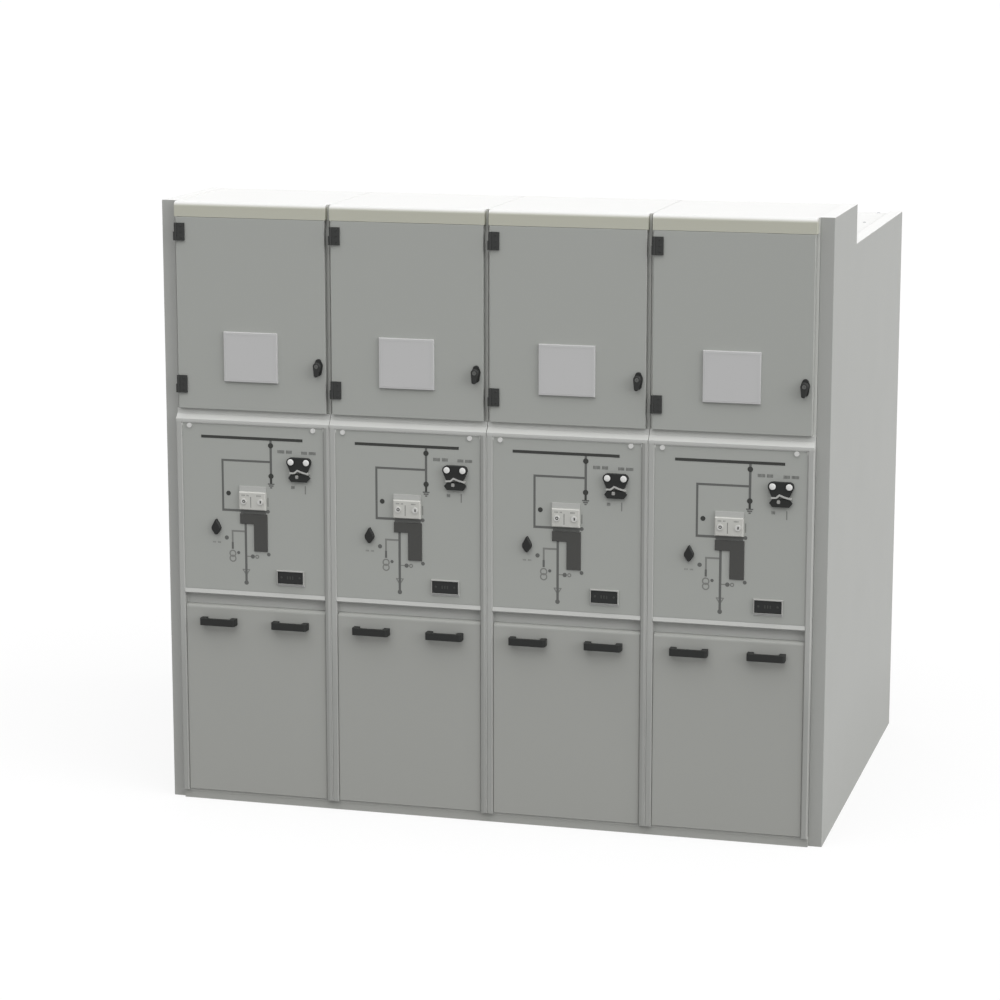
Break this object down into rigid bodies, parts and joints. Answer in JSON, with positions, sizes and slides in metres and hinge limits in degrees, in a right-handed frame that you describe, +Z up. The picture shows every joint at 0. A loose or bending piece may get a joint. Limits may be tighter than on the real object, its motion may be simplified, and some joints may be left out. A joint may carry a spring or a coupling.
{
  "type": "gas insulated switchgear line-up",
  "caption": "Line-up of gas insulated breaker panels with hinged low-voltage doors, operator plates with mimic diagrams, gripped cable covers and stepped end covers.",
  "frame": {"origin": "on the floor, under the centre of the bounding box", "axes": "+X along the line-up to the right as seen from the front, +Y to the back, +Z up"},
  "size_m": [2.5, 1.804, 2.28],
  "materials": {
    "panel_grey": "light grey powder coat, satin",
    "cover_grey": "light grey powder coat, satin",
    "frame_grey": "pale grey coated steel, satin",
    "housing_grey": "pale grey coated steel",
    "roof_grey": "pale grey coated steel",
    "base_steel": "grey powder coat, satin",
    "header_cream": "cream moulded strip, satin",
    "hinge_black": "black coated die casting",
    "handle_black": "black glass-filled plastic",
    "grip_black": "black glass-filled plastic",
    "display_grey": "pale grey moulded face",
    "cap_white": "white moulded caps",
    "box_cream": "cream moulded housing",
    "button_white": "white moulded buttons",
    "slot_cover_dark": "dark grey coated plate",
    "control_black": "black moulded plastic",
    "window_black": "black moulded window"
  },
  "bodies": {
    "switchboard": {"base_frame": "base_steel", "end_covers": "cover_grey", "switchgear_housing_1": "housing_grey", "lv_cabinet_1": "cover_grey", "cable_cover_1": "panel_grey", "switchgear_housing_2": "housing_grey", "lv_cabinet_2": "cover_grey", "cable_cover_2": "panel_grey", "switchgear_housing_3": "housing_grey", "lv_cabinet_3": "cover_grey", "cable_cover_3": "panel_grey", "switchgear_housing_4": "housing_grey", "lv_cabinet_4": "cover_grey", "cable_cover_4": "panel_grey", "header_strips": "header_cream", "hinge_posts": "hinge_black", "front_posts": "frame_grey", "cross_rails": "frame_grey", "operator_plates": "panel_grey", "cover_grips": "grip_black", "plate_caps": "cap_white", "button_boxes": "box_cream", "push_buttons": "button_white", "lever_slot_covers": "slot_cover_dark", "selector_switches": "control_black", "socket_knobs": "control_black", "indicator_windows": "window_black", "roof_covers": "roof_grey", "rear_covers": "cover_grey"},
    "door_1": {"lv_door_1": "panel_grey", "door_hinge_wings_1": "hinge_black", "display_panel_1": "display_grey"},
    "handle_1": {"door_handle_1": "handle_black"},
    "door_2": {"lv_door_2": "panel_grey", "door_hinge_wings_2": "hinge_black", "display_panel_2": "display_grey"},
    "handle_2": {"door_handle_2": "handle_black"},
    "door_3": {"lv_door_3": "panel_grey", "door_hinge_wings_3": "hinge_black", "display_panel_3": "display_grey"},
    "handle_3": {"door_handle_3": "handle_black"},
    "door_4": {"lv_door_4": "panel_grey", "door_hinge_wings_4": "hinge_black", "display_panel_4": "display_grey"},
    "handle_4": {"door_handle_4": "handle_black"}
  },
  "joints": [
    {"name": "door_1_hinge", "type": "hinge", "parent": "switchboard", "child": "door_1", "pos_m": [-1.186, -0.872, 1.8845], "axis": [0, 0, -1], "range_deg": [0, 100]},
    {"name": "handle_1_turn", "type": "hinge", "parent": "door_1", "child": "handle_1", "pos_m": [-0.638, -0.866, 1.69], "axis": [0, 1, 0], "range_deg": [0, 90]},
    {"name": "door_2_hinge", "type": "hinge", "parent": "switchboard", "child": "door_2", "pos_m": [-0.586, -0.872, 1.8845], "axis": [0, 0, -1], "range_deg": [0, 100]},
    {"name": "handle_2_turn", "type": "hinge", "parent": "door_2", "child": "handle_2", "pos_m": [-0.038, -0.866, 1.69], "axis": [0, 1, 0], "range_deg": [0, 90]},
    {"name": "door_3_hinge", "type": "hinge", "parent": "switchboard", "child": "door_3", "pos_m": [0.014, -0.872, 1.8845], "axis": [0, 0, -1], "range_deg": [0, 100]},
    {"name": "handle_3_turn", "type": "hinge", "parent": "door_3", "child": "handle_3", "pos_m": [0.562, -0.866, 1.69], "axis": [0, 1, 0], "range_deg": [0, 90]},
    {"name": "door_4_hinge", "type": "hinge", "parent": "switchboard", "child": "door_4", "pos_m": [0.614, -0.872, 1.8845], "axis": [0, 0, -1], "range_deg": [0, 100]},
    {"name": "handle_4_turn", "type": "hinge", "parent": "door_4", "child": "handle_4", "pos_m": [1.162, -0.866, 1.69], "axis": [0, 1, 0], "range_deg": [0, 90]}
  ]
}
